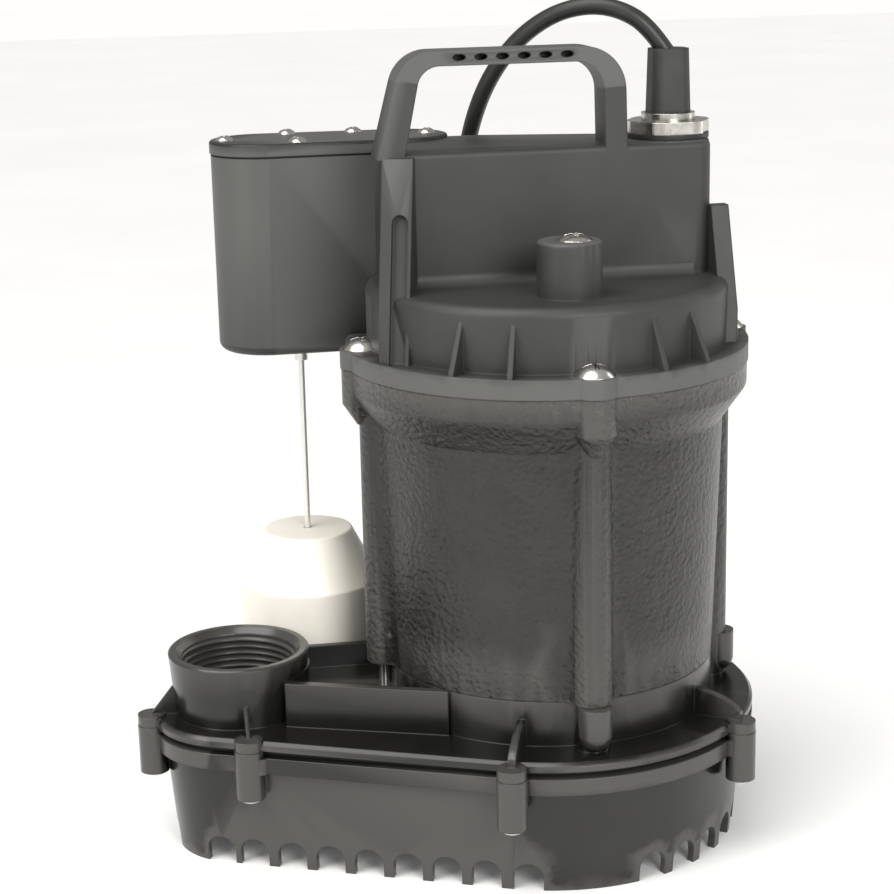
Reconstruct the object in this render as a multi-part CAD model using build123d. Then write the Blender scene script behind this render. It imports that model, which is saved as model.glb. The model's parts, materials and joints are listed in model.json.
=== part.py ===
from build123d import *
import os
from math import atan2, cos, degrees, hypot, pi, radians, sin, sqrt, tan

# Submersible sump pump with a vertical rod float.  Millimetres, +Z up.
# The origin is on the motor axis at the level of the feet; +X points from the discharge
# side towards the cord side and +Y to the back.

# ---- driving dimensions: base ----
DISCHARGE_X = -134.0
DISCHARGE_Y = 8.0
DISCHARGE_BORE = 24.1            # wall radius of the 1-1/2 inch pipe thread
DISCHARGE_TOP = 86.0
MOUTH_CHAMFER = 2.6
COLLAR_R_TOP = 30.0
COLLAR_R_LOW = 27.5
SKIRT_FOOT_R = 80.0
SKIRT_FOOT_COLLAR_R = 29.0
SKIRT_SPREAD = 4.3               # how much wider the skirt is at the rim
SKIRT_WALL = 3.2
RIM_R = 88.0
RIM_COLLAR_R = 36.5
RIM_LOW = 45.0
RIM_TOP = 52.0
FLANGE_LOW = 55.0
FLANGE_TOP = 59.0
TOOTH_PITCH = 16.7
TOOTH_PITCH_ROUND = 12.06        # degrees round the main circle
ARCH_WIDTH = 12.4
ARCH_HEIGHT = 12.0
PLATE_LOW = 37.0
PLATE_TOP = 40.0
SCREW_COLUMN_R = 6.2
COLUMN_FOOT = 34.0
SUCTION_R = 20.0
RING_R = 70.0
RING_TOP = 78.0
STUD_CIRCLE = 72.6
NOSE_R = 6.8
NOSE_TIP = 65.9

# ---- driving dimensions: motor ----
HOUSING_TOP = 206.0
HOUSING_WAIST_R = 74.0
HOUSING_BAND_R = 83.5
HOUSING_WALL = 5.5
RIB_BLEND = 7.0
BOLT_CIRCLE = 78.0
SHAFT_R = 6.0
SHAFT_FIT = 0.05
ROTOR_R = 27.0
STATOR_INNER = 28.0
STATOR_OUTER = 60.0

# ---- driving dimensions: cap, handle and gland ----
CAP_FLANGE_TOP = 214.0
CAP_FLANGE_R = 84.0
DRUM_R = 75.0
DRUM_TOP = 240.0
CAP_TOP = 294.0
CAP_FRONT = -14.0
CAP_WALL = 3.0
HANDLE_TOP = 334.0
GLAND_X = 55.5
GLAND_Y = 9.5

# ---- driving dimensions: switch, rod and float ----
SWITCH_LEFT = (-109.0, 53.0, 22.5)
SWITCH_RIGHT = (-52.0, 51.0, 21.0)
SWITCH_FLOOR = 206.0
SWITCH_TOP = 289.5
LID_TOP = 295.5
ROD_X = -96.0
ROD_Y = 58.0
ROD_R = 1.3
ROD_FIT = 0.08
FLOAT_R = 31.0
FLOAT_TOP_R = 19.5
FLOAT_LOW = 66.6
FLOAT_SHOULDER = 99.0
FLOAT_TOP = 121.9

# ---- driving dimensions: cord ----
CORD_R = 3.65
COIL_X = 48.0
COIL_Y = 185.0
COIL_LOW = 1.5
COIL_TOP = 23.5
COIL_INNER = 29.0
COIL_OUTER = 51.0
PLUG_X = 50.0                    # end of the plug body where the cord comes in
PLUG_LENGTH = 32.0
PLUG_HEIGHT = 22.0
RELIEF_LENGTH = 24.0
BLADE_LENGTH = 17.0
TIE_ANGLE = -120.0
CORD_ROUTE = [
    (56.8, 8.7, 325.4),
    (48.4, 11.0, 338.9),
    (36.5, 16.0, 346.8),
    (23.5, 23.5, 348.4),
    (9.5, 33.0, 343.5),
    (-4.5, 43.5, 330.5),
    (-15.5, 54.5, 309.0),
    (-20.5, 68.0, 278.0),
    (-18.0, 85.0, 240.0),
    (-9.0, 101.0, 193.0),
    (-1.0, 110.0, 138.0),
    (3.0, 116.0, 90.0),
    (6.0, 122.0, 52.0),
    (12.0, 127.0, 24.0),
    (27.0, 131.5, 9.0),
    (46.0, 136.0, 5.4),
    (60.0, 139.0, 5.2),
]

BASE_SCREW_SPOTS = [
    (-172.0, 8.0),
    (-135.0, -31.0),
    (-37.0, -87.0),
    (67.0, -61.0),
    (67.0, 61.0),
    (-37.0, 87.0),
    (-130.0, 46.5),
]
BOLT_ANGLES = [0.0, 90.0, 180.0, 270.0]
LID_SCREW_SPOTS = [
    (-125.5, 53.0),
    (-97.0, 70.0),
    (-96.5, 36.5),
    (-68.5, 67.5),
    (-58.0, 36.0),
    (-39.0, 52.0),
]

os.makedirs("parts", exist_ok=True)


# ---- small helpers ----
def rod_z(radius, low, high, x=0.0, y=0.0):
    """Upright cylinder between two heights."""
    return Pos(x, y, (low + high) / 2) * Cylinder(radius, high - low)


def taper_z(radius_low, radius_high, low, high, x=0.0, y=0.0):
    """Upright truncated cone between two heights."""
    return Pos(x, y, (low + high) / 2) * Cone(radius_low, radius_high, high - low)


def ring_z(outer, inner, low, high, x=0.0, y=0.0):
    """Upright tube between two heights."""
    return rod_z(outer, low, high, x, y) - rod_z(inner, low - 1, high + 1, x, y)


def block(x_low, x_high, y_low, y_high, z_low, z_high):
    """Box given by its limits on each axis."""
    middle = Pos((x_low + x_high) / 2, (y_low + y_high) / 2, (z_low + z_high) / 2)
    return middle * Box(x_high - x_low, y_high - y_low, z_high - z_low)


def hull(*discs):
    """Flat outline stretched round a set of circles (x, y, radius)."""
    outline = Sketch()
    for x, y, radius in discs:
        outline += Pos(x, y) * Circle(radius)
    return make_hull(outline.edges())


def prism(face, low, high):
    """Flat outline raised between two heights."""
    return Pos(0, 0, low) * extrude(face, high - low, dir=(0, 0, 1))


def egg(main_radius, collar_radius):
    """Base outline: main circle and discharge circle joined by straight sides."""
    return hull((0, 0, main_radius), (DISCHARGE_X, DISCHARGE_Y, collar_radius))


def round_head(radius, height):
    """Domed screw head sitting on z = 0, with a cross recess."""
    ball = (radius * radius + height * height) / (2 * height)
    dome = Pos(0, 0, height - ball) * Sphere(ball)
    dome = dome & Pos(0, 0, height / 2) * Cylinder(radius, height)
    slot = Box(radius * 1.1, radius * 0.24, height)
    cross = slot + Rot(0, 0, 90) * slot
    return dome - Pos(0, 0, height * 0.95) * cross


def screw(head_radius, head_height, shank_radius, shank_length):
    """Screw standing head up with the underside of its head on z = 0."""
    shank = Pos(0, 0, -shank_length / 2) * Cylinder(shank_radius, shank_length)
    return round_head(head_radius, head_height) + shank


def polar(radius, angle):
    """Point on a circle about the motor axis."""
    return radius * cos(radians(angle)), radius * sin(radians(angle))


def save(shape, node):
    """Write one node."""
    export_step(shape, "parts/" + node + ".step")


def group(pieces):
    """Several separate solids of one node."""
    return Compound(children=list(pieces))


def tube(points, radius, corner_radii):
    """Round bar along straight runs joined by tangent arcs."""
    path = FilletPolyline(*points, radius=corner_radii)
    start = Plane(origin=path @ 0, z_dir=path % 0)
    return sweep(start * Circle(radius), path=path)


def corner_radii_of(points):
    """Largest arc that leaves a tenth of the shorter run straight at every corner."""
    radii = []
    for before, here, after in zip(points, points[1:], points[2:]):
        one = Vector(*here) - Vector(*before)
        two = Vector(*after) - Vector(*here)
        turn = radians(one.get_angle(two))
        radii.append(0.45 * min(one.length, two.length) / tan(turn / 2))
    return radii


# ---- strainer base ----
def straight_side(side):
    """Start, direction and outward normal of one straight side of the skirt foot."""
    gap = hypot(DISCHARGE_X, DISCHARGE_Y)
    shrink = SKIRT_FOOT_R - SKIRT_FOOT_COLLAR_R
    lean = atan2(shrink, sqrt(gap ** 2 - shrink ** 2))
    base = atan2(DISCHARGE_Y, DISCHARGE_X)
    heading = base - side * lean
    normal = heading + side * pi / 2
    start = (SKIRT_FOOT_R * cos(normal), SKIRT_FOOT_R * sin(normal))
    return start, heading, normal


def arch(x, y, facing):
    """Cutter for one arch of the strainer, facing outwards."""
    post = Box(20, ARCH_WIDTH, 2 * (ARCH_HEIGHT - ARCH_WIDTH / 2))
    crown = Pos(0, 0, ARCH_HEIGHT - ARCH_WIDTH / 2) * Rot(0, 90, 0) * Cylinder(ARCH_WIDTH / 2, 20)
    return Pos(x, y, 0) * Rot(0, 0, degrees(facing)) * (post + crown)


def strainer_arches():
    """Every arch round the foot of the skirt."""
    arches = []
    for side in (1, -1):
        start, heading, normal = straight_side(side)
        for step in range(7):
            along = 1.5 + TOOTH_PITCH * (step + 0.5)
            x = start[0] + along * cos(heading)
            y = start[1] + along * sin(heading)
            arches.append(arch(x, y, normal))
    for step in range(13):
        angle = -6 * TOOTH_PITCH_ROUND + step * TOOTH_PITCH_ROUND
        x, y = polar(SKIRT_FOOT_R, angle)
        arches.append(arch(x, y, radians(angle)))
    for angle in (-110.3, 110.3):
        x, y = polar(SKIRT_FOOT_R, angle)
        arches.append(arch(x, y, radians(angle)))
    for angle in (-117.0, 117.0, 176.6):
        x = DISCHARGE_X + SKIRT_FOOT_COLLAR_R * cos(radians(angle))
        y = DISCHARGE_Y + SKIRT_FOOT_COLLAR_R * sin(radians(angle))
        arches.append(arch(x, y, radians(angle)))
    return arches


def flared(outline):
    """Outline at the feet raised to the top of the rim, widening on the way."""
    return extrude(outline, RIM_TOP, dir=(0, 0, 1), taper=-degrees(atan2(SKIRT_SPREAD, RIM_TOP)))


def make_strainer_base(screws):
    """Skirt with arches, rim and screw columns."""
    skirt = flared(egg(SKIRT_FOOT_R, SKIRT_FOOT_COLLAR_R))
    hollow = flared(egg(SKIRT_FOOT_R - SKIRT_WALL, SKIRT_FOOT_COLLAR_R - SKIRT_WALL))
    rim = prism(egg(RIM_R, RIM_COLLAR_R), RIM_LOW, RIM_TOP)
    body = (skirt - hollow) + (rim - hollow)
    for x, y in BASE_SCREW_SPOTS:
        column = rod_z(SCREW_COLUMN_R, COLUMN_FOOT, FLANGE_LOW, x, y)
        lug = rod_z(SCREW_COLUMN_R, RIM_LOW, RIM_TOP, x * 0.975, y * 0.975)
        body += column + (lug - hollow)
    for cutter in strainer_arches():
        body -= cutter
    return body - screws


def make_suction_plate():
    """Lower plate of the impeller chamber, with the suction eye, its lip and stiffening webs."""
    outline = egg(SKIRT_FOOT_R - SKIRT_WALL, SKIRT_FOOT_COLLAR_R - SKIRT_WALL)
    plate = flared(outline) & block(-200, 200, -200, 200, PLATE_LOW, PLATE_TOP)
    plate += rod_z(SUCTION_R + 3, PLATE_LOW - 5, PLATE_LOW + 1)
    for angle in range(0, 360, 60):
        web = block(SUCTION_R + 2, 60, -1.2, 1.2, PLATE_LOW - 9, PLATE_LOW + 1)
        plate += Rot(0, 0, angle) * web
    return plate - rod_z(SUCTION_R, PLATE_LOW - 10, PLATE_TOP + 1)


# ---- volute housing ----
def volute_outline(shrink):
    """Impeller chamber and the channel that leaves it for the discharge."""
    chamber = Circle(64.0 - shrink)
    channel = hull((DISCHARGE_X, DISCHARGE_Y, 27.5 - shrink), (-40.0, -34.0, 28.0 - shrink))
    return chamber + channel


def ring_fin(x, y, height):
    """Rounded fin from the motor ring out to one screw ear."""
    reach = hypot(x, y)
    outline = Rectangle(reach - RING_R + 2, height, align=(Align.MIN, Align.MIN))
    quarter = Pos(RING_R - 2, FLANGE_TOP - 0.5) * outline
    curve = Pos(RING_R - 2, FLANGE_TOP - 0.5) * Ellipse(reach - RING_R + 4, height)
    profile = quarter & curve
    fin = extrude(Plane.XZ * profile, 1.6, both=True)
    return Rot(0, 0, degrees(atan2(y, x))) * fin


def collar_fin(x, y, height):
    """Straight fin from the discharge collar out to one screw ear."""
    dx = x - DISCHARGE_X
    dy = y - DISCHARGE_Y
    reach = hypot(dx, dy)
    low = FLANGE_TOP - 1
    outline = Polygon((20, low), (reach, low), (reach, low + 2), (20, height), align=None)
    fin = extrude(Plane.XZ * outline, 0.9, both=True)
    return Pos(DISCHARGE_X, DISCHARGE_Y, 0) * Rot(0, 0, degrees(atan2(dy, dx))) * fin


def make_volute_housing(screws, studs):
    """Upper base: flange, scroll wall, motor ring, raised duct and discharge collar."""
    flange = prism(egg(RIM_R, RIM_COLLAR_R), FLANGE_LOW, FLANGE_TOP)
    flange = chamfer(flange.faces().sort_by(Axis.Z)[-1].outer_wire().edges(), 1.5)
    body = flange
    body += prism(volute_outline(0) - volute_outline(3), PLATE_TOP, FLANGE_LOW)
    body += rod_z(RING_R, FLANGE_TOP - 1, RING_TOP)
    duct = Polygon((-118, -20), (-54, -46.5), (-58, 24), (-112, 26), align=None)
    duct = extrude(Pos(0, 0, FLANGE_TOP - 1) * duct, RING_TOP - FLANGE_TOP + 1, dir=(0, 0, 1))
    body += duct
    collar = taper_z(COLLAR_R_LOW, COLLAR_R_TOP, FLANGE_TOP, DISCHARGE_TOP, DISCHARGE_X, DISCHARGE_Y)
    collar = chamfer(collar.faces().sort_by(Axis.Z)[-1].edges(), 0.8)
    body += collar + rod_z(COLLAR_R_LOW, FLANGE_LOW, FLANGE_TOP, DISCHARGE_X, DISCHARGE_Y)
    for angle in BOLT_ANGLES:
        x, y = polar(STUD_CIRCLE, angle)
        body += rod_z(NOSE_R, FLANGE_TOP - 0.5, RING_TOP, x, y)
        tip_x, tip_y = polar(STUD_CIRCLE + 4.4, angle)
        body += rod_z(NOSE_R, NOSE_TIP, RING_TOP, tip_x, tip_y)
        body += Pos(tip_x, tip_y, NOSE_TIP) * Sphere(NOSE_R)
    for x, y in BASE_SCREW_SPOTS:
        body += rod_z(6.0, FLANGE_LOW, FLANGE_TOP + 0.6, x, y)
    for x, y in BASE_SCREW_SPOTS[2:6]:
        body += ring_fin(x, y, 17 if y > 0 else 12)
    body += collar_fin(-172.0, 8.0, DISCHARGE_TOP - 4)
    body += collar_fin(-135.0, -31.0, DISCHARGE_TOP - 9)
    body += collar_fin(-130.0, 46.5, DISCHARGE_TOP - 9)
    pocket = Polygon((-114, -17.5), (-58, -40.7), (-62, 21), (-109, 22.8), align=None)
    pocket = extrude(Pos(0, 0, 68) * pocket, 20, dir=(0, 0, 1))
    pocket -= rod_z(RING_R, 60, 100) + rod_z(COLLAR_R_TOP, 60, 100, DISCHARGE_X, DISCHARGE_Y)
    body -= pocket
    body -= rod_z(RING_R - 5, FLANGE_TOP, RING_TOP + 1)
    body -= rod_z(22, FLANGE_LOW - 1, FLANGE_TOP + 1)
    body -= rod_z(DISCHARGE_BORE, FLANGE_LOW - 1, DISCHARGE_TOP + 1, DISCHARGE_X, DISCHARGE_Y)
    wide = DISCHARGE_BORE + MOUTH_CHAMFER
    mouth_low = DISCHARGE_TOP - MOUTH_CHAMFER
    mouth = taper_z(DISCHARGE_BORE, wide, mouth_low, DISCHARGE_TOP, DISCHARGE_X, DISCHARGE_Y)
    body -= mouth
    return body - screws - studs


# ---- motor housing ----
def make_motor_housing(studs, bolts):
    """Cast shell with a closed floor, seal hub, four ribs and the bolting band."""
    inner_low = RING_R - HOUSING_WALL
    inner_top = HOUSING_WAIST_R - HOUSING_WALL
    spread = (HOUSING_WAIST_R - RING_R) * (HOUSING_TOP - RING_TOP) / (192 - RING_TOP)
    shell = taper_z(RING_R, RING_R + spread, RING_TOP, HOUSING_TOP)
    for angle in BOLT_ANGLES:
        x, y = polar(72.0, angle)
        shell += rod_z(8.0, RING_TOP, HOUSING_TOP, x, y)
    flanks = shell.edges().filter_by(lambda e: e.bounding_box().size.Z > 100 and e.length < 140)
    flanks = [e for e in flanks if abs(hypot(e.center().X, e.center().Y) - 73) < 6]
    shell = fillet(flanks, RIB_BLEND)
    shell += taper_z(HOUSING_WAIST_R - 0.3, HOUSING_BAND_R, 182, 196)
    shell += rod_z(HOUSING_BAND_R, 196, HOUSING_TOP)
    band_edge = shell.edges().filter_by(GeomType.CIRCLE).filter_by(lambda e: abs(e.center().Z - 196) < 0.1)
    shell = fillet(band_edge, 4)
    for angle in BOLT_ANGLES:
        boss_x, boss_y = polar(BOLT_CIRCLE, angle)
        boss = rod_z(8.8, 191, HOUSING_TOP, boss_x, boss_y)
        foot = taper_z(3.0, 8.8, 182, 191, boss_x, boss_y)
        shell += boss + foot
    shell -= taper_z(inner_low, inner_top, RING_TOP + 6, 192)
    shell -= rod_z(inner_top, 191.9, HOUSING_TOP + 1)
    hub = rod_z(22, 57, RING_TOP)
    collar = rod_z(18, RING_TOP + 5, 92)
    shell += hub + collar
    for angle in range(22, 360, 45):
        rib = block(56, inner_low + 4.8, -4, 4, RING_TOP + 5, 170)
        rib -= rod_z(STATOR_OUTER, 112, 171)
        shell += Rot(0, 0, angle) * rib
    shell -= rod_z(10, 70, 93)
    shell -= rod_z(SHAFT_R + 0.6, 56, 71)
    shell -= rod_z(13, 56, 63)
    return shell - studs - bolts


def make_impeller():
    """Open impeller: hub, back shroud and six curved vanes."""
    vane = Pos(28, 0) * (Circle(34) - Circle(31.4))
    vane &= Circle(49.6)
    vane &= Pos(0, 30) * Rectangle(120, 60)
    outline = Circle(11)
    for step in range(6):
        outline += Rot(0, 0, 60 * step) * vane
    outline -= Circle(SHAFT_R)
    blades = prism(outline, 43, 50.5)
    return blades + ring_z(50, SHAFT_R, 50, 52.5)


def make_winding():
    """End turns and slot bars of the stator winding as one moulded coil."""
    lower = ring_z(54, 34, 97, 112)
    lower = fillet(lower.edges().filter_by(GeomType.CIRCLE), 4)
    upper = Pos(0, 0, 71) * lower
    body = lower + upper
    for angle in range(0, 360, 30):
        body += Rot(0, 0, angle) * block(36, 50, -3.5, 3.5, 106, 174)
    return body


# ---- cap ----
def cap_plan(shrink):
    """Outline of the upper box of the cap."""
    return hull(
        (-60.0, CAP_FRONT + 6, 6 - shrink),
        (62.0, CAP_FRONT + 6, 6 - shrink),
        (GLAND_X, GLAND_Y, 17.2 - shrink),
        (-20.0, 40.0, 9 - shrink),
        (-58.0, 40.0, 8 - shrink),
    )


def right_wing():
    """Leaning buttress at the right of the box."""
    foot = CAP_FLANGE_TOP - 2
    front = CAP_FRONT - 1.5
    back = CAP_FRONT + 4
    profile = Polygon((back, foot), (-34, foot), (front, 268), (back, 268), align=None)
    body = Pos(66.5, 0, 0) * extrude(Plane.YZ * profile, 7.5, dir=(1, 0, 0))
    return body & rod_z(79.5, 200, 300)


def left_wing():
    """Leaning buttress at the front left corner of the box, with a round-topped groove."""
    foot = CAP_FLANGE_TOP - 2
    top = CAP_TOP - 1.5
    profile = Polygon((5, foot), (-26, foot), (-1.5, top), (5, top), align=None)
    solid = Pos(-5.5, 0, 0) * extrude(Plane.YZ * profile, 12.5, dir=(1, 0, 0))
    groove = block(-0.9, 5.5, -60, 20, CAP_FLANGE_TOP, 268.0)
    groove += Pos(2.3, -20, 268.0) * Rot(90, 0, 0) * Cylinder(3.2, 80)
    groove = groove & (solid - Pos(0, 2.8, 0) * solid)
    placed = Pos(-64, -14, 0) * Rot(0, 0, -19.3) * (solid - groove)
    return placed & rod_z(82.5, 200, 300)


def switch_plan(grow):
    """Outline of the switch housing."""
    return hull(
        (SWITCH_LEFT[0], SWITCH_LEFT[1], SWITCH_LEFT[2] + grow),
        (SWITCH_RIGHT[0], SWITCH_RIGHT[1], SWITCH_RIGHT[2] + grow),
    )


def cap_block():
    """Outer shape of the cap without its hollow, boss and handle."""
    body = rod_z(CAP_FLANGE_R, HOUSING_TOP, CAP_FLANGE_TOP)
    for angle in BOLT_ANGLES:
        x, y = polar(BOLT_CIRCLE, angle)
        body += rod_z(9.2, HOUSING_TOP, CAP_FLANGE_TOP, x, y)
    drum = rod_z(DRUM_R, HOUSING_TOP, DRUM_TOP)
    drum = fillet(drum.edges().filter_by(GeomType.CIRCLE).sort_by(Axis.Z)[-1], 4.5)
    body += drum
    box = prism(cap_plan(0), DRUM_TOP - 5, CAP_TOP)
    box = fillet(box.faces().sort_by(Axis.Z)[-1].outer_wire().edges(), 2.0)
    box -= prism(switch_plan(0.0), DRUM_TOP, CAP_TOP + 1)
    cove = block(-60, 60, CAP_FRONT - 5, CAP_FRONT, DRUM_TOP - 1, DRUM_TOP + 5)
    cove -= Pos(0, CAP_FRONT - 5, DRUM_TOP + 5) * Rot(0, 90, 0) * Cylinder(5, 200)
    wing = left_wing()
    for piece in (box, cove, wing):
        body += piece
    return body + right_wing()


def make_handle():
    """Carrying handle standing on the cap."""
    outer = Polygon((-72.5, 289), (-60.5, HANDLE_TOP), (30.5, HANDLE_TOP), (31.5, 289), align=None)
    left = outer.vertices().sort_by(Axis.Y)[-2:].sort_by(Axis.X)[0]
    outer = fillet(left, 16)
    right = [v for v in outer.vertices() if abs(v.X - 30.5) < 0.1 and abs(v.Y - HANDLE_TOP) < 0.1]
    outer = fillet(right, 18)
    inner = Polygon((-63.0, 280), (-53.0, 328), (21.5, 328), (22.5, 280), align=None)
    left = [v for v in inner.vertices() if abs(v.X + 53.0) < 0.1 and abs(v.Y - 328) < 0.1]
    inner = fillet(left, 9)
    right = [v for v in inner.vertices() if abs(v.X - 21.5) < 0.1 and abs(v.Y - 328) < 0.1]
    inner = fillet(right, 12)
    bow = Pos(0, CAP_FRONT, 0) * extrude(Plane.XZ * (outer - inner), 16, dir=(0, 1, 0))
    bow -= rod_z(200, 200, CAP_TOP - 2)
    for step in range(6):
        oval = Plane.XZ * Ellipse(2.7, 1.3)
        pocket = extrude(oval, 7, dir=(0, 1, 0))
        bow -= Pos(-37.6 + 8.8 * step, CAP_FRONT - 1, 331.2) * pocket
    return bow


def make_cap(bolts, boss_screw):
    """Cap moulding: flange, drum, box, buttresses, gussets, boss and handle."""
    body = cap_block()
    for angle in (-130.0, -113.5, -70.0, -54.0, 54.0, 70.0):
        outline = Polygon(
            (DRUM_R - 2, CAP_FLANGE_TOP - 1),
            (CAP_FLANGE_R - 0.4, CAP_FLANGE_TOP - 1),
            (CAP_FLANGE_R - 0.4, CAP_FLANGE_TOP + 0.6),
            (DRUM_R - 0.4, 234.5),
            (DRUM_R - 2, 234.5),
            align=None,
        )
        fin = extrude(Plane.XZ * outline, 1.1, both=True)
        body += Rot(0, 0, angle) * fin
    boss = rod_z(13, DRUM_TOP - 6, 262, -2, -48)
    boss = chamfer(boss.faces().sort_by(Axis.Z)[-1].edges(), 1.0)
    body += boss
    body -= rod_z(DRUM_R - CAP_WALL - 1, HOUSING_TOP - 1, DRUM_TOP - CAP_WALL - 0.5)
    cavity = prism(cap_plan(CAP_WALL), DRUM_TOP - 8, CAP_TOP - CAP_WALL)
    cavity -= prism(switch_plan(CAP_WALL), DRUM_TOP - CAP_WALL - 0.5, CAP_TOP + 1)
    body -= cavity
    body += make_handle()
    body -= rod_z(9.5, CAP_TOP - 8, CAP_TOP + 1, GLAND_X, GLAND_Y)
    return body - bolts - boss_screw


# ---- switch housing ----
def make_switch_housing(cap_shape, mount_screws, lid_screws):
    """Open-topped housing beside the cap, with a boss for the rod guide."""
    body = prism(switch_plan(0), SWITCH_FLOOR, SWITCH_TOP)
    rim = body.faces().sort_by(Axis.Z)[0].outer_wire().edges()
    body = fillet(rim, 4)
    cavity = prism(switch_plan(-CAP_WALL), SWITCH_FLOOR + 3, SWITCH_TOP + 1)
    cavity -= rod_z(CAP_FLANGE_R + 3, SWITCH_FLOOR, CAP_FLANGE_TOP + 3)
    cavity -= rod_z(DRUM_R + 3, SWITCH_FLOOR, DRUM_TOP + 3)
    cavity -= prism(cap_plan(-CAP_WALL), DRUM_TOP, CAP_TOP)
    body -= cavity
    body += rod_z(9, SWITCH_FLOOR, SWITCH_FLOOR + 12, ROD_X, ROD_Y)
    body -= rod_z(6, SWITCH_FLOOR - 1, SWITCH_FLOOR + 13, ROD_X, ROD_Y)
    for x, y in LID_SCREW_SPOTS:
        post = rod_z(3.4, SWITCH_TOP - 16, SWITCH_TOP, x, y)
        body += post & prism(switch_plan(-1), SWITCH_TOP - 17, SWITCH_TOP)
    body -= cap_shape
    return body - mount_screws - lid_screws


# ---- fasteners ----
bolt = screw(8.2, 4.6, 3.0, 24)
bolt_set = []
for bolt_angle in BOLT_ANGLES:
    bolt_x, bolt_y = polar(BOLT_CIRCLE, bolt_angle)
    bolt_set.append(Pos(bolt_x, bolt_y, CAP_FLANGE_TOP) * bolt)
cap_bolts = group(bolt_set)

base_screw = Rot(180, 0, 0) * screw(5.6, 2.6, 2.0, 23)
base_screws = group([Pos(x, y, COLUMN_FOOT) * base_screw for x, y in BASE_SCREW_SPOTS])

stud = Rot(180, 0, 0) * screw(5.0, 2.4, 2.5, 34)
stud_set = []
for stud_angle in BOLT_ANGLES:
    stud_x, stud_y = polar(STUD_CIRCLE, stud_angle)
    stud_set.append(Pos(stud_x, stud_y, FLANGE_LOW) * stud)
motor_screws = group(stud_set)

boss_screw = Pos(0.0, -48.0, 262.0) * screw(7.4, 2.6, 2.5, 18)
lid_screw = screw(4.0, 2.2, 1.5, 16)
lid_screws = group([Pos(x, y, LID_TOP) * lid_screw for x, y in LID_SCREW_SPOTS])
mount_screw = Pos(DRUM_R + CAP_WALL, 0, 226) * Rot(0, 90, 0) * screw(3.2, 2.0, 1.6, 9)
mount_screws = group([Rot(0, 0, angle) * mount_screw for angle in (128.0, 146.0)])

# ---- base parts ----
strainer_base = make_strainer_base(base_screws)
suction_plate = make_suction_plate()
volute_housing = make_volute_housing(base_screws, motor_screws)
motor_housing = make_motor_housing(motor_screws, cap_bolts)
gasket_outline = egg(SKIRT_FOOT_R + 3.5, SKIRT_FOOT_COLLAR_R + 3.5)
gasket_outline -= egg(SKIRT_FOOT_R - 0.7, SKIRT_FOOT_COLLAR_R - 0.7)
base_gasket = prism(gasket_outline, RIM_TOP, FLANGE_LOW)
for x, y in BASE_SCREW_SPOTS:
    base_gasket -= rod_z(SCREW_COLUMN_R, RIM_TOP - 1, FLANGE_LOW + 1, x, y)


# ---- motor internals ----
cap_gasket = ring_z(74.0, 71.0, HOUSING_TOP - 1, HOUSING_TOP)
motor_housing -= cap_gasket
winding = make_winding()
stator_core = ring_z(STATOR_OUTER, STATOR_INNER, 112, 168) - winding
for angle in range(0, 360, 30):
    stator_core -= Rot(0, 0, angle) * block(STATOR_INNER - 1, 36, -1.2, 1.2, 111, 169)
protector = rod_z(7, 183, 189, 44, 0)
lower_bearing = ring_z(10, SHAFT_R + SHAFT_FIT, 71, 92)
upper_bearing = ring_z(10, SHAFT_R + SHAFT_FIT, 188, 202)
bracket = rod_z(HOUSING_WAIST_R - HOUSING_WALL, 192, 198) + rod_z(15, 187, 203)
bracket -= rod_z(10, 186, 204)
for angle in range(0, 360, 60):
    x, y = polar(40, angle + 30)
    bracket -= rod_z(13, 191, 199, x, y)
seal_seat = ring_z(13, 7, 58.2, 63)
shaft = rod_z(SHAFT_R, 38, 204)
shaft = chamfer(shaft.edges().filter_by(GeomType.CIRCLE), 0.6)
rotor_core = ring_z(ROTOR_R, SHAFT_R, 112, 168)
rotor_rings = group([ring_z(25.5, 18, 106, 112), ring_z(25.5, 18, 168, 174)])
impeller = make_impeller()
nut = prism(RegularPolygon(8, 6), 38, 43) - rod_z(SHAFT_R, 37, 44)
seal_head = ring_z(12, SHAFT_R, 52.5, 57.9)
thrust_washer = ring_z(13, SHAFT_R, 92.1, 94)
tray = rod_z(70.9, HOUSING_TOP, HOUSING_TOP + 2) - rod_z(8, 205, 209, -30, 0) - rod_z(8, 205, 209, 50, 25)
capacitor = rod_z(18, HOUSING_TOP + 2, 270, 0, 14)
capacitor = fillet(capacitor.edges().filter_by(GeomType.CIRCLE), 1.5)
capacitor += rod_z(2.2, 269, 276, -6, 14) + rod_z(2.2, 269, 276, 6, 14)
clip = ring_z(19.4, 18, HOUSING_TOP + 4, 222, 0, 14)
clip += block(-28, -18.6, 10, 18, HOUSING_TOP + 2, HOUSING_TOP + 5)
clip += block(-4, 4, 32.6, 42, HOUSING_TOP + 2, HOUSING_TOP + 5)
terminal_block = block(26, 48, -6, 10, HOUSING_TOP + 2, 222)
wires = []
for step in range(3):
    top_x = GLAND_X - 2.6 + 2.6 * step
    low_x = 30.0 + 7.0 * step
    route = [
        (top_x, GLAND_Y, 286),
        (top_x, GLAND_Y, 262),
        (low_x, 2.0, 242),
        (low_x, 2.0, 220),
    ]
    wires.append(tube(route, 1.1, [9.0, 9.0]))
lead_wires = group(wires)
for wire in wires:
    terminal_block -= wire

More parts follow.
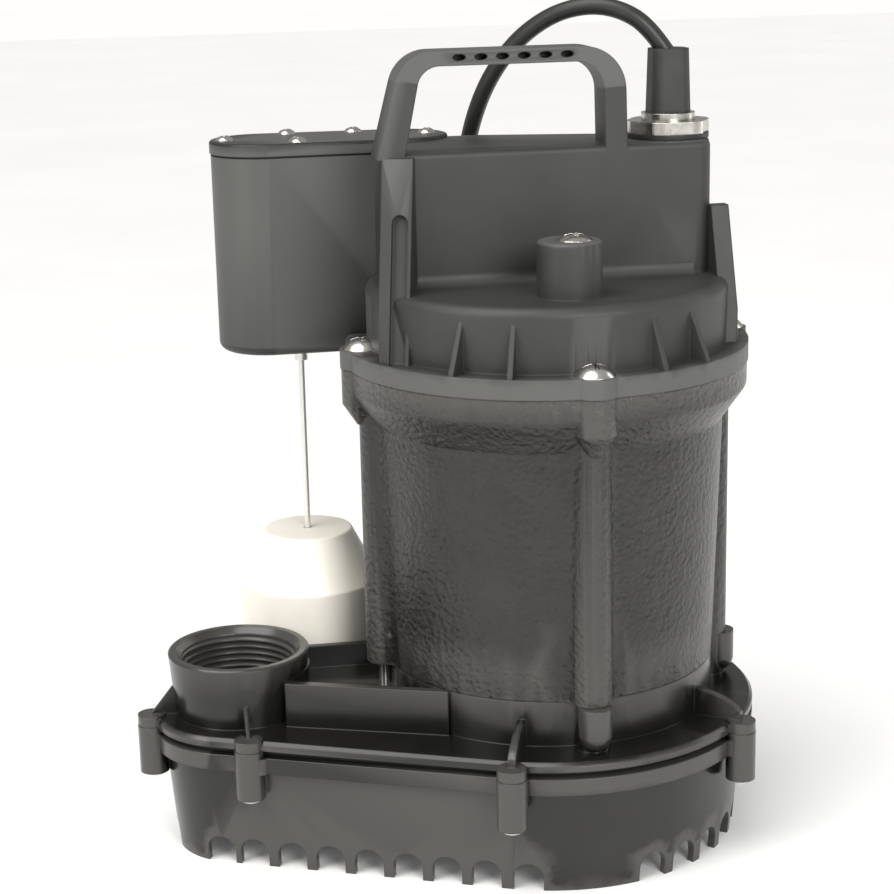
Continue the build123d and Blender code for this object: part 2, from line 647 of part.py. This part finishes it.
# ---- cap, gland and switch housing ----
cap = make_cap(cap_bolts, boss_screw) - mount_screws
cap_shape = cap_block()
switch_housing = make_switch_housing(cap_shape, mount_screws, lid_screws)
lid_gasket = prism(switch_plan(-0.8) - switch_plan(-CAP_WALL), SWITCH_TOP, SWITCH_TOP + 0.8)
lid_gasket -= lid_screws
switch_lid = prism(switch_plan(0.5), SWITCH_TOP + 0.8, LID_TOP)
switch_lid = fillet(switch_lid.faces().sort_by(Axis.Z)[-1].outer_wire().edges(), 1.2)
switch_lid -= prism(cap_plan(0), CAP_TOP - 10, CAP_TOP)
switch_lid -= lid_screws
gland_gasket = ring_z(17.0, 9.5, CAP_TOP, CAP_TOP + 2.2, GLAND_X, GLAND_Y)
gland_nut = prism(RegularPolygon(18.6, 6), CAP_TOP + 2.2, CAP_TOP + 7.4) & rod_z(17.2, 290, 310)
gland_nut = Pos(GLAND_X, GLAND_Y, 0) * (gland_nut - rod_z(9.5, 290, 310))
gland_ring = ring_z(11.2, 9.5, CAP_TOP + 7.4, CAP_TOP + 10.4, GLAND_X, GLAND_Y)
gland_body = ring_z(9.5, 6.5, CAP_TOP - 10, CAP_TOP + 10.4, GLAND_X, GLAND_Y)
power_cord = tube(CORD_ROUTE, CORD_R, corner_radii_of(CORD_ROUTE))
boot_low = Pos(0, 0, CAP_TOP + 10.4) * RectangleRounded(17.0, 16.0, 4.5)
boot_high = Pos(0, 0, 330.5) * RectangleRounded(15.6, 14.8, 4.5)
boot = Pos(GLAND_X, GLAND_Y, 0) * (loft([boot_low, boot_high]) + rod_z(6.5, CAP_TOP - 8, CAP_TOP + 10.4))
boot -= power_cord

# ---- rod and float ----
guide = rod_z(6, 204.2, 218, ROD_X, ROD_Y) + rod_z(7.5, 218, 220, ROD_X, ROD_Y)
guide -= rod_z(4.2, 203, 211, ROD_X, ROD_Y)
guide -= rod_z(ROD_R + ROD_FIT, 210, 221, ROD_X, ROD_Y)
float_rod = rod_z(ROD_R, 62.4, 240.4, ROD_X, ROD_Y)
rod_collar = ring_z(2.8, ROD_R, 198.5, 205.0, ROD_X, ROD_Y)
rod_washer = ring_z(4.0, ROD_R, 220.05, 222, ROD_X, ROD_Y)
float_clip = ring_z(4.5, ROD_R, FLOAT_LOW - 2, FLOAT_LOW, ROD_X, ROD_Y)
float_body = rod_z(FLOAT_R, FLOAT_LOW, FLOAT_SHOULDER)
float_body += taper_z(FLOAT_R, FLOAT_TOP_R, FLOAT_SHOULDER, FLOAT_TOP)
float_body = fillet(float_body.edges().filter_by(GeomType.CIRCLE), 1.0)
float_body = Pos(ROD_X, ROD_Y, 0) * (float_body - rod_z(ROD_R + 0.4, 60, 130))

# ---- switch mechanism ----
PIVOT_X = -66.0
PIVOT_Z = 241.6
pin = Pos(PIVOT_X, 58, PIVOT_Z) * Rot(90, 0, 0) * Cylinder(1.5, 16)
lever = block(-100, PIVOT_X, 54, 62, 241.0, 242.2)
lever += Pos(PIVOT_X, 58, PIVOT_Z) * Rot(90, 0, 0) * Cylinder(3.2, 8)
lever -= Pos(PIVOT_X, 58, PIVOT_Z) * Rot(90, 0, 0) * Cylinder(1.58, 10)
switch_screws = group([Pos(x, 53, 262) * Rot(90, 0, 0) * screw(2.6, 1.6, 1.2, 15) for x in (-88.0, -68.0)])
micro_switch = block(-92, -64, 53, 66, 250, 266) - rod_z(1.58, 249, 259, -80, 58) - switch_screws
plunger = rod_z(1.5, 243, 255, -80, 58)
switch_bracket = block(-94, -58, 66, 68, 234, 272) + block(-70, -58, 50, 52, 236, 248)
switch_bracket += block(-60, -58, 50, 68, 236, 248)
switch_bracket += block(-92, -86, 68, 72.5, 254, 262) + block(-74, -68, 68, 71, 254, 262)
switch_bracket = switch_bracket - pin - switch_screws - switch_housing - lid_screws

# ---- coil, plug and tie ----
coil = ring_z(COIL_OUTER, COIL_INNER, COIL_LOW, COIL_TOP, COIL_X, COIL_Y)
coil = fillet(coil.edges().filter_by(GeomType.CIRCLE), 6)
coil -= power_cord
plug_y = COIL_Y - 40
plug_z = COIL_TOP + PLUG_HEIGHT / 2
plug_end = PLUG_X + PLUG_LENGTH
plug_body = block(PLUG_X, plug_end, plug_y - 13, plug_y + 13, COIL_TOP, COIL_TOP + PLUG_HEIGHT)
plug_body = fillet(plug_body.edges().filter_by(Axis.X), 5)
relief = Pos(PLUG_X - RELIEF_LENGTH / 2, plug_y, plug_z) * Rot(0, 90, 0)
plug_body += relief * Cone(4.4, 6.4, RELIEF_LENGTH)
blade = Box(BLADE_LENGTH, 1.5, 6.3)
ground = Rot(0, 90, 0) * Cylinder(2.4, BLADE_LENGTH + 2)
plug_blades = group([
    Pos(plug_end + BLADE_LENGTH / 2, plug_y - 6.35, plug_z + 3) * blade,
    Pos(plug_end + BLADE_LENGTH / 2, plug_y + 6.35, plug_z + 3) * blade,
    Pos(plug_end + BLADE_LENGTH / 2 + 1, plug_y, plug_z - 6) * ground,
])
tie = block(27.6, 52.2, -2.5, 2.5, 0.2, 43.2) - block(28.8, 51, -3, 3, COIL_LOW, 42)
tie = Pos(COIL_X, COIL_Y, 0) * Rot(0, 0, TIE_ANGLE) * tie

nodes = {
    "strainer_base": strainer_base,
    "suction_plate": suction_plate,
    "base_gasket": base_gasket,
    "base_screws": base_screws,
    "volute_housing": volute_housing,
    "motor_screws": motor_screws,
    "motor_housing": motor_housing,
    "seal_seat": seal_seat,
    "lower_bearing": lower_bearing,
    "upper_bearing": upper_bearing,
    "bearing_bracket": bracket,
    "stator_core": stator_core,
    "stator_winding": winding,
    "thermal_protector": protector,
    "shaft": shaft,
    "rotor_core": rotor_core,
    "rotor_end_rings": rotor_rings,
    "thrust_washer": thrust_washer,
    "seal_head": seal_head,
    "impeller": impeller,
    "impeller_nut": nut,
    "cap_gasket": cap_gasket,
    "cap": cap,
    "cap_bolts": cap_bolts,
    "cap_boss_screw": boss_screw,
    "component_tray": tray,
    "capacitor": capacitor,
    "capacitor_clip": clip,
    "terminal_block": terminal_block,
    "lead_wires": lead_wires,
    "gland_gasket": gland_gasket,
    "gland_nut": gland_nut,
    "gland_ring": gland_ring,
    "gland_body": gland_body,
    "cord_boot": boot,
    "power_cord": power_cord,
    "cord_coil": coil,
    "cord_plug": plug_body,
    "plug_blades": plug_blades,
    "cord_tie": tie,
    "switch_housing": switch_housing,
    "switch_mount_screws": mount_screws,
    "switch_lid_gasket": lid_gasket,
    "switch_lid": switch_lid,
    "switch_lid_screws": lid_screws,
    "switch_bracket": switch_bracket,
    "micro_switch": micro_switch,
    "switch_screws": switch_screws,
    "switch_plunger": plunger,
    "switch_lever": lever,
    "lever_pin": pin,
    "rod_guide": guide,
    "float_rod": float_rod,
    "rod_collar": rod_collar,
    "rod_washer": rod_washer,
    "float": float_body,
    "float_clip": float_clip,
}
for node, shape in nodes.items():
    save(shape, node)
    solids = shape.solids()
    print(node, len(solids), all(solid.is_valid for solid in solids), round(shape.volume))
print("cord length", round(power_cord.volume / (pi * CORD_R ** 2)))
print("cord radii", [round(radius, 1) for radius in corner_radii_of(CORD_ROUTE)])
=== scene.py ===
import json
import math
import bmesh
import bpy
from mathutils import Matrix, Vector


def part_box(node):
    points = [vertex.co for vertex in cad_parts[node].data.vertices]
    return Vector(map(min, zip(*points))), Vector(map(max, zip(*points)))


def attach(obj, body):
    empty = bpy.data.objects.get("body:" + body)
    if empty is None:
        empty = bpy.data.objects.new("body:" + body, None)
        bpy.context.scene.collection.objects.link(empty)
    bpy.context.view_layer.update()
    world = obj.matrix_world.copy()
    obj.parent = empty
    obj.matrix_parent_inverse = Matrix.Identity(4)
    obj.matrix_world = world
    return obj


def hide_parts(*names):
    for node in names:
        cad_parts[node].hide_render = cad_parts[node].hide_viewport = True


# Submersible sump pump with a vertical rod float. Metres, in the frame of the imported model.
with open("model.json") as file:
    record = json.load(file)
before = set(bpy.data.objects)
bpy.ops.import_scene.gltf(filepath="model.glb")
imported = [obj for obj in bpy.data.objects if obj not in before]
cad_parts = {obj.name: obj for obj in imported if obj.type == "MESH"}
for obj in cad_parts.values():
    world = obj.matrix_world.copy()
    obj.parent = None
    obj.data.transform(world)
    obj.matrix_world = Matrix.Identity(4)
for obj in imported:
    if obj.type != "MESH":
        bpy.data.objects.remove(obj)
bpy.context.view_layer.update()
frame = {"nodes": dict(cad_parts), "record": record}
nodes = frame["nodes"]
scene = bpy.context.scene

# ---- camera ----
AZIMUTH = math.radians(-11.223)
ELEVATION = math.radians(14.914)
ROLL = math.radians(-1.199)
DISTANCE = 0.89839
back = Vector((
    math.sin(AZIMUTH) * math.cos(ELEVATION),
    -math.cos(AZIMUTH) * math.cos(ELEVATION),
    math.sin(ELEVATION),
))
level = Vector((math.cos(AZIMUTH), math.sin(AZIMUTH), 0.0))
rise = back.cross(level)
side = level * math.cos(ROLL) + rise * math.sin(ROLL)
top = rise * math.cos(ROLL) - level * math.sin(ROLL)
target = level * -0.039773 + Vector((0.0, 0.0, 0.159356))
camera_data = bpy.data.cameras.new("camera")
camera = bpy.data.objects.new("camera", camera_data)
scene.collection.objects.link(camera)
camera_data.sensor_width = 36.0
camera_data.lens = 85.1
camera_data.shift_x = -0.0073
camera_data.shift_y = 0.0200
turned = Matrix((side, top, back)).transposed().to_4x4()
camera.matrix_world = Matrix.Translation(target + back * DISTANCE) @ turned
scene.camera = camera


# ---- small helpers ----
def link(data, name):
    """New object for some data, in the scene."""
    made = bpy.data.objects.new(name, data)
    scene.collection.objects.link(made)
    return made


def mesh_object(bm, name, smooth=True):
    """Object from a bmesh, which is freed."""
    bmesh.ops.recalc_face_normals(bm, faces=bm.faces)
    for face in bm.faces:
        face.smooth = smooth
    data = bpy.data.meshes.new(name)
    bm.to_mesh(data)
    bm.free()
    return link(data, name)


def smoothstep(x):
    """Smooth rise from 0 to 1."""
    x = min(max(x, 0.0), 1.0)
    return x * x * (3.0 - 2.0 * x)


# ---- cord ----
CORD_D = 0.0073
CORD_ROUTE = [
    (0.0568, 0.0087, 0.3254),
    (0.0484, 0.0110, 0.3389),
    (0.0365, 0.0160, 0.3468),
    (0.0235, 0.0235, 0.3484),
    (0.0095, 0.0330, 0.3435),
    (-0.0045, 0.0435, 0.3305),
    (-0.0155, 0.0545, 0.3090),
    (-0.0205, 0.0680, 0.2780),
    (-0.0180, 0.0850, 0.2400),
    (-0.0090, 0.1010, 0.1930),
    (-0.0010, 0.1100, 0.1380),
    (0.0030, 0.1160, 0.0900),
    (0.0060, 0.1220, 0.0520),
    (0.0120, 0.1270, 0.0240),
    (0.0270, 0.1315, 0.0090),
    (0.0460, 0.1360, 0.0054),
    (0.0600, 0.1390, 0.0052),
]
coil_low, coil_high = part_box("cord_coil")
plug_low, plug_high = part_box("cord_plug")
COIL_X = (coil_low.x + coil_high.x) / 2
COIL_Y = (coil_low.y + coil_high.y) / 2
PLUG_Y = (plug_low.y + plug_high.y) / 2
PLUG_Z = (plug_low.z + plug_high.z) / 2
LANE = 0.00735
RINGS = [0.04735, 0.04735 - LANE, 0.04735 - 2 * LANE]
LAYERS = [0.00515, 0.00515 + LANE, 0.00515 + 2 * LANE]
LANES = [
    (RINGS[0], LAYERS[0]),
    (RINGS[1], LAYERS[0]),
    (RINGS[2], LAYERS[0]),
    (RINGS[2], LAYERS[1]),
    (RINGS[1], LAYERS[1]),
    (RINGS[0], LAYERS[1]),
    (RINGS[0], LAYERS[2]),
    (RINGS[1], LAYERS[2]),
]
POINTS_PER_TURN = 16
COIL_TURNS = 7.45


def coil_point(turns):
    """Control point of the coil after so many turns. Later turns change lane earlier."""
    number = int(turns)
    part = turns - number
    here = LANES[number]
    there = LANES[min(number + 1, len(LANES) - 1)]
    start = 0.72 - 0.11 * max(number - 1, 0)
    share = smoothstep((part - start) / 0.28)
    radius = here[0] + (there[0] - here[0]) * share
    height = here[1] + (there[1] - here[1]) * share
    angle = math.radians(-75.4) + 2 * math.pi * turns
    pull_in = 1.0 / math.cos(math.pi / POINTS_PER_TURN) ** 2
    return COIL_X + radius * pull_in * math.cos(angle), COIL_Y + radius * pull_in * math.sin(angle), height


route = list(CORD_ROUTE)
for step in range(1, int(COIL_TURNS * POINTS_PER_TURN) + 1):
    route.append(coil_point(step / POINTS_PER_TURN))
relief_x = plug_low.x
route += [
    (0.0080, 0.2130, 0.0225),
    (-0.0055, 0.1965, 0.0262),
    (-0.0105, 0.1790, 0.0295),
    (-0.0075, 0.1630, 0.0322),
    (0.0020, 0.1510, 0.0340),
    (0.0155, PLUG_Y, PLUG_Z),
    (relief_x + 0.002, PLUG_Y, PLUG_Z),
]
cord_data = bpy.data.curves.new("cord", "CURVE")
cord_data.dimensions = "3D"
spline = cord_data.splines.new("NURBS")
spline.points.add(len(route) - 1)
for point, place in zip(spline.points, route):
    point.co = (*place, 1.0)
    point.radius = CORD_D / 2
spline.order_u = 3
spline.use_endpoint_u = True
spline.resolution_u = 8
cord_data.bevel_depth = 1.0
cord_data.bevel_resolution = 6
cord_data.use_fill_caps = True
cord = link(cord_data, "cord")
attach(cord, "pump")
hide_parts("power_cord", "cord_coil")


# ---- materials ----
def new_material(name):
    """Empty node material and its tree."""
    made = bpy.data.materials.new(name)
    made.use_nodes = True
    made.node_tree.nodes.clear()
    return made, made.node_tree


def node(tree, kind, **settings):
    """Shader node with some inputs or settings set."""
    made = tree.nodes.new(kind)
    for key, value in settings.items():
        if key in made.inputs:
            made.inputs[key].default_value = value
        else:
            setattr(made, key, value)
    return made


def ramp(tree, source, low, high, dark, light):
    """Colour ramp between two linear colours."""
    made = tree.nodes.new("ShaderNodeValToRGB")
    made.color_ramp.elements[0].position = low
    made.color_ramp.elements[1].position = high
    made.color_ramp.elements[0].color = (*dark, 1.0)
    made.color_ramp.elements[1].color = (*light, 1.0)
    tree.links.new(source, made.inputs["Fac"])
    return made


def surface(name, dark, light, rough, grain=900.0, grain_height=0.00002, cloud=55.0, metallic=0.0,
            specular=0.5, edge_wear_and_sheen=None, edge=0.0007, cells=0.0, stretch=(1.0, 1.0, 1.0)):
    """Moulded, cast or metal surface: clouded colour, uneven gloss, grain and softened edges; convex edges
    can be lightened, partly as wear and partly as a painted edge highlight.
    """
    made, tree = new_material(name)
    out = node(tree, "ShaderNodeOutputMaterial")
    shader = node(tree, "ShaderNodeBsdfPrincipled", Metallic=metallic)
    shader.inputs["Specular IOR Level"].default_value = specular
    tree.links.new(shader.outputs["BSDF"], out.inputs["Surface"])
    place = node(tree, "ShaderNodeTexCoord")
    mapping = node(tree, "ShaderNodeMapping")
    mapping.inputs["Scale"].default_value = stretch
    tree.links.new(place.outputs["Object"], mapping.inputs["Vector"])
    clouds = node(tree, "ShaderNodeTexNoise", Scale=cloud, Detail=5.0, Roughness=0.6)
    tree.links.new(mapping.outputs["Vector"], clouds.inputs["Vector"])
    tint = ramp(tree, clouds.outputs["Fac"], 0.32, 0.68, dark, light)
    colour = tint.outputs["Color"]
    # Convex edges lightened by pointiness: partly wear, partly a painted edge highlight.
    if edge_wear_and_sheen:
        shape = node(tree, "ShaderNodeNewGeometry")
        worn_and_sheen_edges = ramp(tree, shape.outputs["Pointiness"], 0.51, 0.58, (0, 0, 0), (1, 1, 1))
        mix = node(tree, "ShaderNodeMix", data_type="RGBA")
        mix.inputs["B"].default_value = (*edge_wear_and_sheen, 1.0)
        tree.links.new(worn_and_sheen_edges.outputs["Color"], mix.inputs["Factor"])
        tree.links.new(colour, mix.inputs["A"])
        colour = mix.outputs["Result"]
    tree.links.new(colour, shader.inputs["Base Color"])
    gloss = node(tree, "ShaderNodeMapRange")
    gloss.inputs["To Min"].default_value = rough[0]
    gloss.inputs["To Max"].default_value = rough[1]
    smears = node(tree, "ShaderNodeTexNoise", Scale=cloud * 2.3, Detail=4.0, Roughness=0.55)
    tree.links.new(mapping.outputs["Vector"], smears.inputs["Vector"])
    tree.links.new(smears.outputs["Fac"], gloss.inputs["Value"])
    tree.links.new(gloss.outputs["Result"], shader.inputs["Roughness"])
    fine = node(tree, "ShaderNodeTexNoise", Scale=grain, Detail=3.0, Roughness=0.6)
    tree.links.new(mapping.outputs["Vector"], fine.inputs["Vector"])
    height = fine.outputs["Fac"]
    if cells:
        pits = node(tree, "ShaderNodeTexVoronoi", Scale=cells, feature="SMOOTH_F1")
        tree.links.new(mapping.outputs["Vector"], pits.inputs["Vector"])
        both = node(tree, "ShaderNodeMath", operation="MULTIPLY_ADD")
        tree.links.new(pits.outputs["Distance"], both.inputs[0])
        both.inputs[1].default_value = 1.1
        tree.links.new(height, both.inputs[2])
        height = both.outputs["Value"]
    bump = node(tree, "ShaderNodeBump", Strength=1.0, Distance=grain_height)
    tree.links.new(height, bump.inputs["Height"])
    if edge:
        soft = node(tree, "ShaderNodeBevel", Radius=edge)
        soft.samples = 4
        tree.links.new(soft.outputs["Normal"], bump.inputs["Normal"])
    tree.links.new(bump.outputs["Normal"], shader.inputs["Normal"])
    return made


# The lighter edge colours given below are partly wear and partly painted edge highlight.
base_black = surface("base_black", (0.006, 0.006, 0.0055), (0.011, 0.0105, 0.0095), (0.18, 0.30),
                     grain=1500.0, grain_height=0.000012, cloud=40.0, edge_wear_and_sheen=(0.055, 0.053, 0.049), edge=0.0009)
cap_black = surface("cap_black", (0.026, 0.026, 0.025), (0.036, 0.036, 0.034), (0.44, 0.58),
                    grain=2600.0, grain_height=0.000022, cloud=30.0, edge_wear_and_sheen=(0.085, 0.085, 0.081), edge=0.0010)
switch_black = surface("switch_black", (0.009, 0.009, 0.0088), (0.014, 0.014, 0.0135), (0.40, 0.54),
                       grain=2600.0, grain_height=0.000018, cloud=26.0, edge_wear_and_sheen=(0.080, 0.080, 0.076),
                       edge=0.0009)
cast_black = surface("cast_black", (0.011, 0.0105, 0.010), (0.020, 0.019, 0.017), (0.26, 0.38),
                     grain=620.0, grain_height=0.00052, cloud=60.0, edge_wear_and_sheen=(0.060, 0.058, 0.053),
                     edge=0.0014, cells=420.0)
nickel = surface("nickel", (0.62, 0.60, 0.56), (0.80, 0.78, 0.74), (0.14, 0.30),
                 grain=1800.0, grain_height=0.000006, cloud=160.0, metallic=1.0, edge=0.0004)
# Light, less metallic screw finish: zinc colour brightened as a painted reflection of the pale floor on heads
# in shade.
zinc_with_painted_reflection = surface("zinc_with_painted_reflection", (0.80, 0.79, 0.76), (0.92, 0.91, 0.88), (0.30, 0.42),
               grain=1800.0, grain_height=0.000006, cloud=160.0, metallic=0.6, edge=0.0004)
rod_bright = surface("rod_bright", (0.74, 0.73, 0.69), (0.90, 0.89, 0.85), (0.24, 0.38),
                     grain=900.0, grain_height=0.000004, cloud=120.0, metallic=0.55, edge=0.0,
                     stretch=(1.0, 1.0, 0.05))
gland_steel = surface("gland_steel", (0.42, 0.41, 0.38), (0.70, 0.68, 0.63), (0.16, 0.36),
                      grain=1200.0, grain_height=0.00001, cloud=110.0, metallic=1.0, edge=0.0006)
machined = surface("machined", (0.34, 0.34, 0.34), (0.48, 0.48, 0.47), (0.22, 0.38),
                   grain=1400.0, grain_height=0.000005, cloud=90.0, metallic=1.0, edge=0.0004)
float_cream = surface("float_cream", (0.86, 0.82, 0.72), (0.92, 0.89, 0.80), (0.36, 0.48),
                      grain=1600.0, grain_height=0.000010, cloud=24.0, edge=0.0016)
rubber = surface("rubber", (0.022, 0.022, 0.021), (0.032, 0.032, 0.031), (0.48, 0.62),
                 grain=3000.0, grain_height=0.000012, cloud=70.0, edge=0.0010)
jacket = surface("jacket", (0.016, 0.016, 0.016), (0.026, 0.026, 0.025), (0.34, 0.48),
                 grain=2200.0, grain_height=0.000010, cloud=60.0, edge=0.0)
brass = surface("brass", (0.62, 0.44, 0.18), (0.76, 0.56, 0.26), (0.20, 0.34),
                grain=1500.0, grain_height=0.000005, cloud=120.0, metallic=1.0, edge=0.0003)
copper = surface("copper", (0.42, 0.16, 0.06), (0.60, 0.26, 0.11), (0.26, 0.42),
                 grain=1800.0, grain_height=0.00005, cloud=140.0, metallic=1.0, edge=0.0)
lamination = surface("lamination", (0.16, 0.16, 0.17), (0.24, 0.24, 0.25), (0.36, 0.50),
                     grain=1500.0, grain_height=0.00004, cloud=80.0, metallic=1.0, edge=0.0,
                     stretch=(0.05, 0.05, 1.6))
aluminium = surface("aluminium", (0.58, 0.58, 0.59), (0.72, 0.72, 0.73), (0.28, 0.44),
                    grain=900.0, grain_height=0.00002, cloud=80.0, metallic=1.0, edge=0.0004)
bronze = surface("bronze", (0.40, 0.28, 0.13), (0.54, 0.39, 0.20), (0.30, 0.46),
                 grain=1500.0, grain_height=0.00001, cloud=100.0, metallic=1.0, edge=0.0003)
ceramic = surface("ceramic", (0.70, 0.68, 0.64), (0.80, 0.79, 0.76), (0.20, 0.30),
                  grain=1500.0, grain_height=0.000004, cloud=60.0, edge=0.0003)
impeller_grey = surface("impeller_grey", (0.10, 0.10, 0.105), (0.15, 0.15, 0.155), (0.38, 0.50),
                        grain=1800.0, grain_height=0.00001, cloud=40.0, edge=0.0006)
case_black = surface("case_black", (0.018, 0.018, 0.019), (0.026, 0.026, 0.027), (0.40, 0.52),
                     grain=2600.0, grain_height=0.00001, cloud=60.0, edge=0.0004)

FINISH = {
    "base_plastic": base_black,
    "cap_plastic": cap_black,
    "switch_plastic": switch_black,
    "housing_iron": cast_black,
    "seal_rubber": rubber,
    "cord_rubber": jacket,
    "screw_steel": nickel,
    "rod_steel": rod_bright,
    "machined_steel": machined,
    "lamination_steel": lamination,
    "rotor_aluminium": aluminium,
    "winding_copper": copper,
    "bearing_bronze": bronze,
    "plug_brass": brass,
    "seal_ceramic": ceramic,
    "impeller_plastic": impeller_grey,
    "float_plastic": float_cream,
    "switch_case": case_black,
    "capacitor_can": aluminium,
}


def dress(obj, finish):
    """One finish over every material slot of an object."""
    if not obj.material_slots:
        obj.data.materials.append(finish)
    for slot in obj.material_slots:
        slot.material = finish


for part in frame["record"]["subparts"]:
    dress(nodes[part["node"]], FINISH[part["material_slot"]])
dress(nodes["gland_nut"], gland_steel)
dress(nodes["gland_ring"], gland_steel)
# Base screw heads get the brightened finish, a painted reflection under the columns.
dress(nodes["base_screws"], zinc_with_painted_reflection)
dress(nodes["cord_boot"], rubber)
dress(cord, jacket)


# ---- pipe thread of the discharge ----
def thread_ridge(name, x, y, wall, crest, low, high, pitch):
    """Screw thread standing on the inside of a round wall."""
    bm = bmesh.new()
    steps = 72
    rows = []
    turns = (high - low) / pitch
    for index in range(int(turns * steps) + 1):
        angle = 2 * math.pi * index / steps
        middle = low + pitch * index / steps
        fade = min(1.0, index / 18, (int(turns * steps) - index) / 18)
        tip = wall - (wall - crest) * fade
        row = []
        for radius, offset in ((wall + 0.0003, -0.48), (tip, -0.12), (tip, 0.12), (wall + 0.0003, 0.48)):
            row.append(bm.verts.new((
                x + radius * math.cos(angle),
                y + radius * math.sin(angle),
                middle + offset * pitch,
            )))
        rows.append(row)
    for one, two in zip(rows, rows[1:]):
        for number in range(4):
            after = (number + 1) % 4
            bm.faces.new((one[number], one[after], two[after], two[number]))
    bm.faces.new(rows[0])
    bm.faces.new(list(reversed(rows[-1])))
    return mesh_object(bm, name, smooth=False)


discharge = next(m for m in frame["record"]["mounts"] if m["name"] == "discharge")
bore_x, bore_y, bore_top = discharge["pos_m"]
bore_wall = discharge["dims"]["r_mm"] / 1000
thread = thread_ridge("discharge_thread", bore_x, bore_y, bore_wall, bore_wall - 0.0012,
                      bore_top - 0.0235, bore_top - 0.0015, 0.0029)
dress(thread, base_black)
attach(thread, "pump")

# ---- floor and light ----
floor_mesh = bmesh.new()
bmesh.ops.create_grid(floor_mesh, x_segments=8, y_segments=8, size=6.0)
floor = mesh_object(floor_mesh, "floor", smooth=False)
floor_pale = surface("floor_pale", (0.90, 0.90, 0.89), (0.94, 0.94, 0.935), (0.75, 0.85),
                     grain=40.0, grain_height=0.0002, cloud=3.0, specular=0.2, edge=0.0)
glow = floor_pale.node_tree.nodes["Principled BSDF"]
glow.inputs["Emission Color"].default_value = (1.0, 1.0, 1.0, 1.0)
glow.inputs["Emission Strength"].default_value = 0.06
dress(floor, floor_pale)

world = bpy.data.worlds.new("studio")
world.use_nodes = True
sky = world.node_tree
seen = sky.nodes.new("ShaderNodeLightPath")
strength = sky.nodes.new("ShaderNodeMapRange")
strength.inputs["To Min"].default_value = 0.34
strength.inputs["To Max"].default_value = 1.0
sky.links.new(seen.outputs["Is Camera Ray"], strength.inputs["Value"])
sky.nodes["Background"].inputs["Color"].default_value = (1.0, 0.99, 0.975, 1.0)
sky.links.new(strength.outputs["Result"], sky.nodes["Background"].inputs["Strength"])
scene.world = world


def soft_light(name, place, aim, width, height, power, colour=(1.0, 1.0, 1.0)):
    """Rectangular lamp aimed at a point."""
    data = bpy.data.lights.new(name, "AREA")
    data.shape = "RECTANGLE"
    data.size = width
    data.size_y = height
    data.energy = power
    data.color = colour
    lamp = link(data, name)
    lamp.location = place
    lamp.rotation_mode = "QUATERNION"
    lamp.rotation_quaternion = (Vector(aim) - Vector(place)).to_track_quat("-Z", "Y")


soft_light("key", (-1.0, -0.55, 0.75), (-0.02, 0.0, 0.15), 0.5, 0.9, 4.5, (1.0, 0.985, 0.96))
soft_light("front", (0.25, -1.15, 0.75), (0.0, 0.0, 0.22), 0.6, 0.5, 9.0)
soft_light("rim", (0.9, 0.1, 0.5), (0.0, 0.0, 0.15), 0.25, 0.9, 1.2)
sun = bpy.data.lights.new("sun", "SUN")
sun.energy = 2.3
sun.angle = math.radians(50)
sun.color = (1.0, 0.99, 0.975)
sun_lamp = link(sun, "sun")
sun_lamp.rotation_mode = "QUATERNION"
sun_lamp.rotation_quaternion = Vector((0.45, 0.25, -1.0)).to_track_quat("-Z", "Y")
scene.view_settings.view_transform = "Standard"
